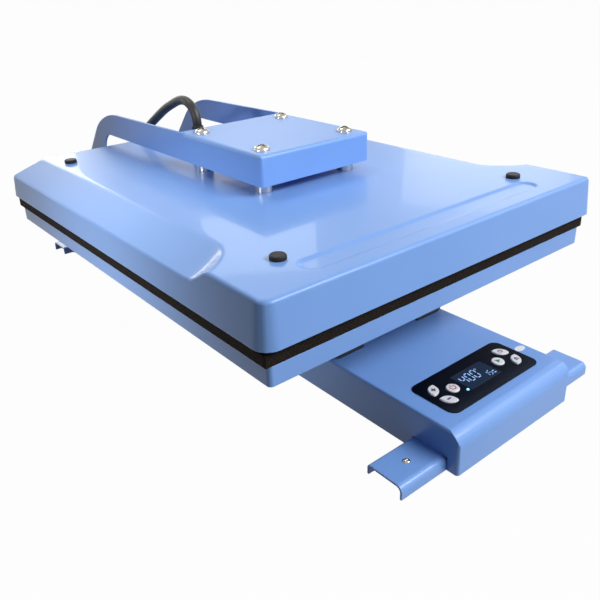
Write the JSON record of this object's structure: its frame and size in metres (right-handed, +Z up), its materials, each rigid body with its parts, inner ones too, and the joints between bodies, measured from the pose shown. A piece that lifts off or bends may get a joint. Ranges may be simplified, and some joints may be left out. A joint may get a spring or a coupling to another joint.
{
  "type": "automatic heat press",
  "caption": "Automatic clamshell heat press: steel base with control panel, sponge-topped bed, and a heated head with folded arm that tilts up on a rear hinge.",
  "frame": {"origin": "middle of the footprint at bench level, under the rubber feet", "axes": "+X to the machine's right as seen from the control panel, +Y from the control panel to the hinge, +Z up"},
  "size_m": [0.415, 0.72, 0.2427],
  "materials": {
    "blue_paint": "gloss",
    "dark_paint": "satin",
    "zinc_sheet": "satin",
    "foot_rubber": "matte",
    "plug_rubber": "matte",
    "sponge": "matte",
    "overlay_film": "gloss",
    "display_window": "gloss",
    "blue_lens": "gloss",
    "circuit_board": "matte",
    "silver_plastic": "satin",
    "anodised_aluminium": "satin",
    "relay_plastic": "matte",
    "black_plastic": "matte",
    "red_plastic": "gloss",
    "plated_steel": "polished",
    "zinc_steel": "satin",
    "bright_steel": "polished",
    "machined_steel": "satin",
    "black_steel": "satin",
    "bronze": "satin",
    "motor_enamel": "satin",
    "cast_platen": "satin",
    "heater_steel": "satin",
    "ceramic_fibre": "matte",
    "phenolic": "matte",
    "cable_rubber": "satin"
  },
  "bodies": {
    "base": {"base_housing": "blue_paint", "base_floor_plate": "zinc_sheet", "front_foot_channel": "blue_paint", "rear_foot_channel": "blue_paint", "rubber_feet": "foot_rubber", "foot_screws": "plated_steel", "control_overlay": "overlay_film", "lcd_window": "display_window", "status_led": "blue_lens", "control_board": "circuit_board", "power_supply": "anodised_aluminium", "heater_relay": "relay_plastic", "power_inlet": "black_plastic", "inlet_pins": "plated_steel", "switch_frame": "black_plastic", "pedestal_rail_left": "dark_paint", "pedestal_rail_right": "dark_paint", "pedestal_bolts": "zinc_steel", "bed_beams": "dark_paint", "bed_tray": "blue_paint", "silicone_pad": "sponge", "hinge_tower_left": "blue_paint", "hinge_tower_right": "blue_paint", "tower_bolts": "zinc_steel", "hinge_bushes": "bronze", "actuator_motor": "motor_enamel", "actuator_tube": "anodised_aluminium", "actuator_clamps": "dark_paint", "clamp_bolts": "zinc_steel"},
    "head": {"hinge_shaft": "bright_steel", "shaft_collars": "black_steel", "crank_lever": "machined_steel", "head_arm": "blue_paint", "arm_cross_tie": "blue_paint", "head_bolts": "plated_steel", "head_spacers": "bright_steel", "inner_spacers": "bright_steel", "head_cover": "blue_paint", "cover_plugs": "plug_rubber", "cover_screws": "zinc_steel", "cover_posts": "bright_steel", "insulation_blanket": "ceramic_fibre", "heating_platen": "cast_platen", "heating_element": "heater_steel", "temperature_sensor": "bright_steel", "thermal_cutout": "phenolic", "cable_glands": "black_plastic", "cable_boot": "cable_rubber", "heater_cable": "cable_rubber"},
    "actuator_slide": {"actuator_rod": "bright_steel", "rod_fork": "machined_steel", "fork_pin": "bright_steel"},
    "power_button_body": {"power_button": "silver_plastic"},
    "start_button_body": {"start_button": "silver_plastic"},
    "plus_button_body": {"plus_button": "silver_plastic"},
    "minus_button_body": {"minus_button": "silver_plastic"},
    "timer_button_body": {"timer_button": "silver_plastic"},
    "open_button_body": {"open_button": "silver_plastic"},
    "switch_rocker_body": {"switch_rocker": "red_plastic"}
  },
  "joints": [
    {"name": "head_tilt", "type": "hinge", "parent": "base", "child": "head", "pos_m": [0, 0.296, 0.1154], "axis": [-1, 0, 0], "range_deg": [0, 45]},
    {"name": "actuator_stroke", "type": "slide", "parent": "base", "child": "actuator_slide", "axis": [0, -1, 0], "range_m": [0, 0.0432]},
    {"name": "power_button_press", "type": "slide", "parent": "base", "child": "power_button_body", "axis": [0, 0, -1], "range_m": [0, 0.0008], "stiffness_N_per_m": 200},
    {"name": "start_button_press", "type": "slide", "parent": "base", "child": "start_button_body", "axis": [0, 0, -1], "range_m": [0, 0.0008], "stiffness_N_per_m": 200},
    {"name": "plus_button_press", "type": "slide", "parent": "base", "child": "plus_button_body", "axis": [0, 0, -1], "range_m": [0, 0.0008], "stiffness_N_per_m": 200},
    {"name": "minus_button_press", "type": "slide", "parent": "base", "child": "minus_button_body", "axis": [0, 0, -1], "range_m": [0, 0.0008], "stiffness_N_per_m": 200},
    {"name": "timer_button_press", "type": "slide", "parent": "base", "child": "timer_button_body", "axis": [0, 0, -1], "range_m": [0, 0.0008], "stiffness_N_per_m": 200},
    {"name": "open_button_press", "type": "slide", "parent": "base", "child": "open_button_body", "axis": [0, 0, -1], "range_m": [0, 0.0008], "stiffness_N_per_m": 200},
    {"name": "power_switch", "type": "hinge", "parent": "base", "child": "switch_rocker_body", "pos_m": [0.034, 0.355, 0.02795], "axis": [-1, 0, 0], "range_deg": [0, 20]}
  ],
  "couplings": [
    {"joint": "actuator_stroke", "follows": "head_tilt", "m_per_rad": 0.05485}
  ]
}
